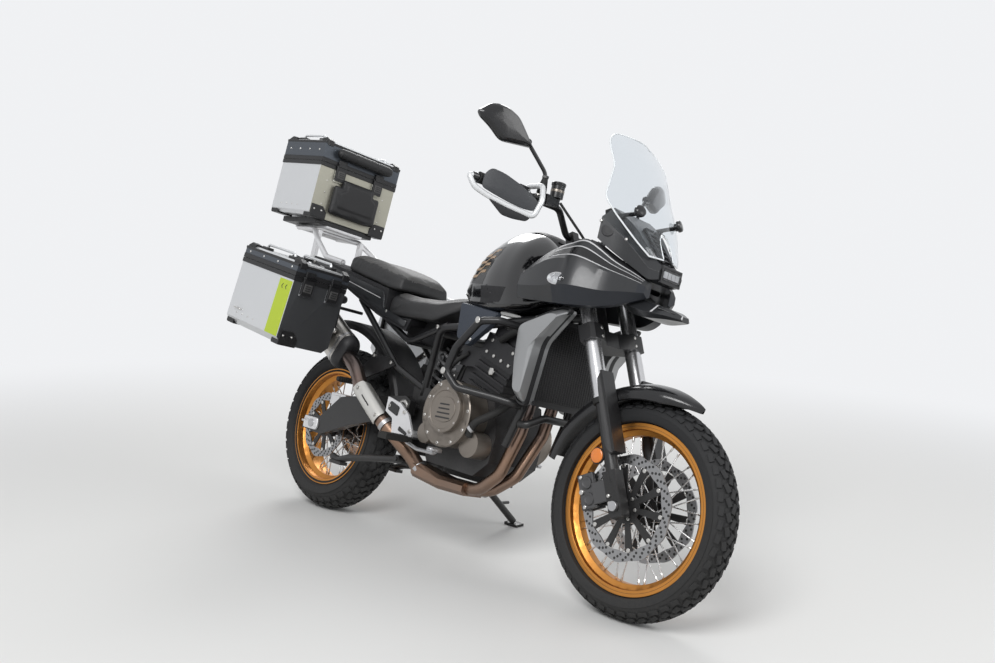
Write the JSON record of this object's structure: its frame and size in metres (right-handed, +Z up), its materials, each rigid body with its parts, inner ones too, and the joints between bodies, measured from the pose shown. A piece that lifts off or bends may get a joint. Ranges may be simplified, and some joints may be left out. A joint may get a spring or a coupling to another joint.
{
  "type": "adventure motorcycle",
  "caption": "Adventure motorcycle on its side stand with spoked wheels, tall screen, crash bars, aluminium side cases and top case.",
  "frame": {"origin": "on the ground under the middle of the parked motorcycle's bounding box", "axes": "+X forward, +Y to the rider's left, +Z up; the motorcycle leans to its left by 14 degrees on its side stand"},
  "size_m": [2.4007, 1.1512, 1.5278],
  "materials": {
    "tyre_rubber": "matte black rubber",
    "rim_gold": "satin gold anodised",
    "hub_black": "satin black",
    "disc_steel": "ground steel",
    "chain_steel": "oiled steel",
    "axle_steel": "satin",
    "fork_silver": "satin",
    "fork_black": "satin black",
    "guard_plastic": "matte black",
    "caliper_grey": "dark grey cast",
    "frame_black": "satin black",
    "spring_black": "gloss black",
    "engine_black": "satin black",
    "cover_bronze": "satin bronze grey",
    "pipe_copper": "heat tinted",
    "silencer_steel": "brushed nickel",
    "tank_black": "gloss black",
    "seat_vinyl": "matte grained vinyl",
    "cowl_charcoal": "satin charcoal",
    "shroud_silver": "satin silver",
    "panel_blue_grey": "dimpled blue grey",
    "nose_black": "black",
    "lamp_clear": "clear",
    "screen_clear": "clear",
    "radiator_black": "matte black fins",
    "footrest_silver": "cast",
    "carrier_silver": "cast silver",
    "case_aluminium": "brushed",
    "lid_aluminium": "brushed",
    "pad_black": "padded vinyl"
  },
  "bodies": {
    "chassis": {"frame": "frame_black", "swingarm": "frame_black", "rear_axle": "axle_steel", "chain": "chain_steel", "rear_caliper": "caliper_grey", "shock": "spring_black", "engine": "engine_black", "engine_covers": "cover_bronze", "exhaust": "pipe_copper", "silencer": "silencer_steel", "tank": "tank_black", "rider_seat": "seat_vinyl", "pillion_seat": "seat_vinyl", "tail_unit": "guard_plastic", "side_cowls": "cowl_charcoal", "shrouds": "shroud_silver", "side_panels": "panel_blue_grey", "nose": "nose_black", "headlamp": "lamp_clear", "beak": "cowl_charcoal", "windscreen": "screen_clear", "display": "guard_plastic", "radiator": "radiator_black", "crash_bars": "frame_black", "footrests": "footrest_silver", "peg_hangers": "frame_black", "rear_carrier": "carrier_silver", "side_case_right": "case_aluminium", "side_case_left": "case_aluminium", "top_case": "case_aluminium", "top_case_plate": "guard_plastic", "backrest_pad": "pad_black", "case_racks": "frame_black", "plate_holder": "guard_plastic"},
    "steering": {"fork_tubes": "fork_silver", "fork_legs": "fork_black", "front_axle": "axle_steel", "fork_clamps": "fork_black", "handlebar": "fork_black", "hand_guards": "guard_plastic", "mirrors": "guard_plastic", "front_calipers": "caliper_grey", "front_fender": "guard_plastic"},
    "front_wheel": {"front_tyre": "tyre_rubber", "front_rim": "rim_gold", "front_hub": "hub_black", "front_discs": "disc_steel"},
    "rear_wheel": {"rear_tyre": "tyre_rubber", "rear_rim": "rim_gold", "rear_hub": "hub_black", "rear_disc": "disc_steel", "rear_sprocket": "disc_steel"},
    "side_stand": {"side_stand": "frame_black"},
    "centre_stand": {"centre_stand": "frame_black"},
    "top_case_lid": {"top_case_lid": "lid_aluminium", "roll_cushion": "pad_black"},
    "side_case_lid_right": {"side_case_lid_right": "lid_aluminium"},
    "side_case_lid_left": {"side_case_lid_left": "lid_aluminium"}
  },
  "joints": [
    {"name": "steering_turn", "type": "hinge", "parent": "chassis", "child": "steering", "pos_m": [0.48855, -0.00658, 1.01456], "axis": [-0.4301, 0.2184, 0.876], "range_deg": [-35, 35]},
    {"name": "front_wheel_spin", "type": "hinge", "parent": "steering", "child": "front_wheel", "pos_m": [0.87105, -0.1794, 0.32126], "axis": [-0.0001, 0.9703, -0.2419], "continuous": true},
    {"name": "rear_wheel_spin", "type": "hinge", "parent": "chassis", "child": "rear_wheel", "pos_m": [-0.63395, -0.18143, 0.31376], "axis": [-0.0001, 0.9703, -0.2419], "continuous": true},
    {"name": "side_stand_fold", "type": "hinge", "parent": "chassis", "child": "side_stand", "pos_m": [-0.04398, -0.02639, 0.25331], "axis": [-0.0348, 0.7836, 0.6203], "range_deg": [0, 84]},
    {"name": "centre_stand_drop", "type": "hinge", "parent": "chassis", "child": "centre_stand", "pos_m": [-0.09397, -0.19108, 0.27481], "axis": [0.0001, -0.9703, 0.2419], "range_deg": [0, 88]},
    {"name": "top_case_lid_hinge", "type": "hinge", "parent": "chassis", "child": "top_case_lid", "pos_m": [-1.19534, 0.07763, 1.35303], "axis": [0.0001, -0.9703, 0.2419], "range_deg": [0, 100]},
    {"name": "side_case_lid_right_hinge", "type": "hinge", "parent": "chassis", "child": "side_case_lid_right", "pos_m": [-0.85483, -0.39367, 0.96307], "axis": [0.0001, -0.9703, 0.2419], "range_deg": [0, 100]},
    {"name": "side_case_lid_left_hinge", "type": "hinge", "parent": "chassis", "child": "side_case_lid_left", "pos_m": [-0.85491, 0.31076, 0.78744], "axis": [0.0001, -0.9703, 0.2419], "range_deg": [0, 100]}
  ]
}
